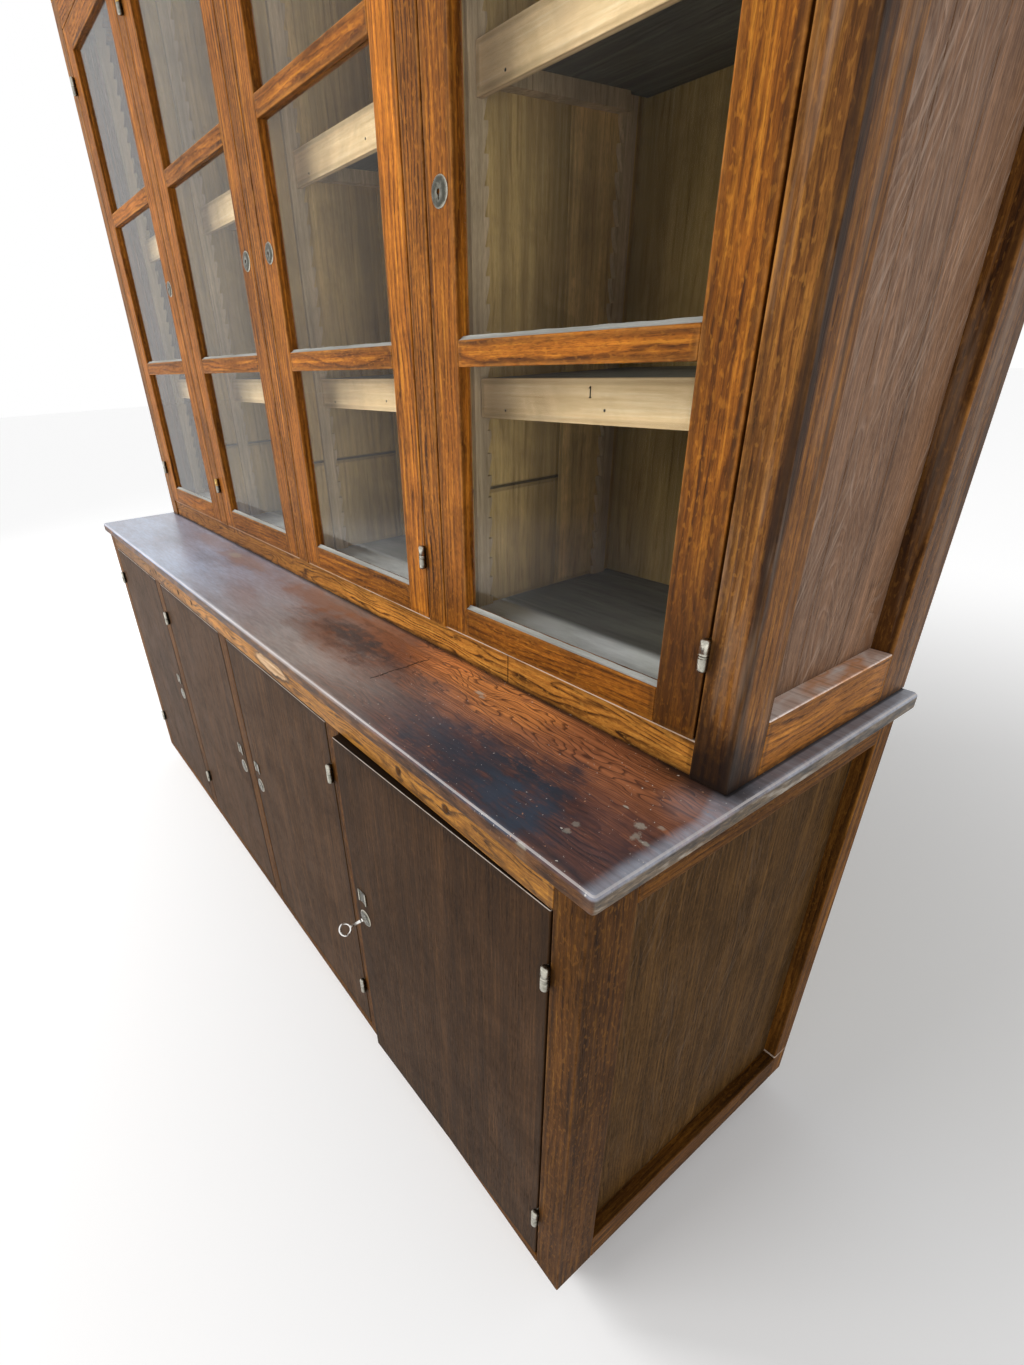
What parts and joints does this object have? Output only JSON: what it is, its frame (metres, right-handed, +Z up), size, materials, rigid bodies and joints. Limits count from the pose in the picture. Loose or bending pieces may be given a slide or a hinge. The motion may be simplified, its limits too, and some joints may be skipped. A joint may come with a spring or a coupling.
{
  "type": "haberdashery cabinet",
  "caption": "Long wooden shop cabinet: cupboards with flat doors below a worn worktop, glazed cupboards with shelves above; a key in a lower door throws its lock bolt.",
  "frame": {"origin": "middle of the lower carcass's footprint, on the underside of the plinth's middle bearer", "axes": "+X to the right as seen from the front, +Y from the doors to the back, +Z up"},
  "size_m": [2.18, 0.6902, 2.18],
  "materials": {
    "worktop_oak": "worn dark oil finish",
    "golden_oak": "worn dark oil finish",
    "dark_veneer": "worn dark oil finish",
    "pale_softwood": "worn dark oil finish",
    "grey_board": "worn dark oil finish",
    "plain_softwood": "worn dark oil finish",
    "dark_oak": "worn dark oil finish",
    "brown_oak": "worn dark oil finish",
    "window_glass": "clear drawn sheet glass",
    "nickel": "worn nickel plate"
  },
  "bodies": {
    "carcass": {"apron_rail": "golden_oak", "cornice": "brown_oak", "hinge_pins": "nickel", "lower_back": "plain_softwood", "lower_bottom_rail": "dark_oak", "lower_cleats": "plain_softwood", "lower_floor": "plain_softwood", "lower_mullions": "dark_oak", "lower_partitions": "plain_softwood", "lower_posts": "dark_oak", "lower_shelves": "plain_softwood", "lower_side_panels": "dark_oak", "lower_side_rails": "dark_oak", "plinth": "plain_softwood", "shelf_bearers": "plain_softwood", "shelf_fascias": "pale_softwood", "shelf_racks": "plain_softwood", "sill_rail": "brown_oak", "upper_back": "plain_softwood", "upper_bearers": "plain_softwood", "upper_floor": "grey_board", "upper_mullions": "brown_oak", "upper_partitions": "plain_softwood", "upper_posts": "brown_oak", "upper_shelves": "grey_board", "upper_side_panels": "brown_oak", "upper_side_rails": "brown_oak", "upper_top": "plain_softwood", "upper_top_rail": "brown_oak", "worktop": "worktop_oak"},
    "lower_door_1": {"lower_door_1_hinges": "nickel", "lower_door_1_lock": "nickel", "lower_door_1_panel": "dark_veneer"},
    "upper_door_1": {"upper_door_1_frame": "brown_oak", "upper_door_1_glass": "window_glass", "upper_door_1_hinges": "nickel", "upper_door_1_lock": "nickel"},
    "lower_door_2": {"lower_door_2_hinges": "nickel", "lower_door_2_lock": "nickel", "lower_door_2_panel": "dark_veneer"},
    "upper_door_2": {"upper_door_2_frame": "brown_oak", "upper_door_2_glass": "window_glass", "upper_door_2_hinges": "nickel", "upper_door_2_lock": "nickel"},
    "lower_door_3": {"lower_door_3_hinges": "nickel", "lower_door_3_lock": "nickel", "lower_door_3_panel": "dark_veneer"},
    "upper_door_3": {"upper_door_3_frame": "brown_oak", "upper_door_3_glass": "window_glass", "upper_door_3_hinges": "nickel", "upper_door_3_lock": "nickel"},
    "lower_door_4": {"lower_door_4_hinges": "nickel", "lower_door_4_lock": "nickel", "lower_door_4_panel": "dark_veneer"},
    "upper_door_4": {"upper_door_4_frame": "brown_oak", "upper_door_4_glass": "window_glass", "upper_door_4_hinges": "nickel", "upper_door_4_lock": "nickel"},
    "key": {"lock_key": "nickel"},
    "bolt": {"lock_bolt": "nickel"}
  },
  "joints": [
    {"name": "lower_door_1_hinge", "type": "hinge", "parent": "carcass", "child": "lower_door_1", "pos_m": [-1.0214, -0.3121, 0.4675], "axis": [0, 0, -1], "range_deg": [0, 110]},
    {"name": "upper_door_1_hinge", "type": "hinge", "parent": "carcass", "child": "upper_door_1", "pos_m": [-1.0154, -0.0991, 1.5125], "axis": [0, 0, -1], "range_deg": [0, 110]},
    {"name": "lower_door_2_hinge", "type": "hinge", "parent": "carcass", "child": "lower_door_2", "pos_m": [-0.49865, -0.3121, 0.4675], "axis": [0, 0, -1], "range_deg": [0, 110]},
    {"name": "upper_door_2_hinge", "type": "hinge", "parent": "carcass", "child": "upper_door_2", "pos_m": [-0.49565, -0.0991, 1.5125], "axis": [0, 0, -1], "range_deg": [0, 110]},
    {"name": "lower_door_3_hinge", "type": "hinge", "parent": "carcass", "child": "lower_door_3", "pos_m": [0.49865, -0.3121, 0.4675], "axis": [0, 0, 1], "range_deg": [0, 110]},
    {"name": "upper_door_3_hinge", "type": "hinge", "parent": "carcass", "child": "upper_door_3", "pos_m": [0.49565, -0.0991, 1.5125], "axis": [0, 0, 1], "range_deg": [0, 110]},
    {"name": "lower_door_4_hinge", "type": "hinge", "parent": "carcass", "child": "lower_door_4", "pos_m": [1.0214, -0.3121, 0.4675], "axis": [0, 0, 1], "range_deg": [-1.6, 108]},
    {"name": "upper_door_4_hinge", "type": "hinge", "parent": "carcass", "child": "upper_door_4", "pos_m": [1.0154, -0.0991, 1.5125], "axis": [0, 0, 1], "range_deg": [0, 110]},
    {"name": "key_turn", "type": "hinge", "parent": "lower_door_4", "child": "key", "pos_m": [0.57747, -0.3189, 0.465], "axis": [0.0279, -0.9996, 0], "range_deg": [0, 90]},
    {"name": "bolt_throw", "type": "slide", "parent": "lower_door_4", "child": "bolt", "axis": [-0.9996, -0.0279, 0], "range_m": [0, 0.009]}
  ],
  "couplings": [
    {"joint": "bolt_throw", "follows": "key_turn", "m_per_rad": 0.0057296}
  ]
}
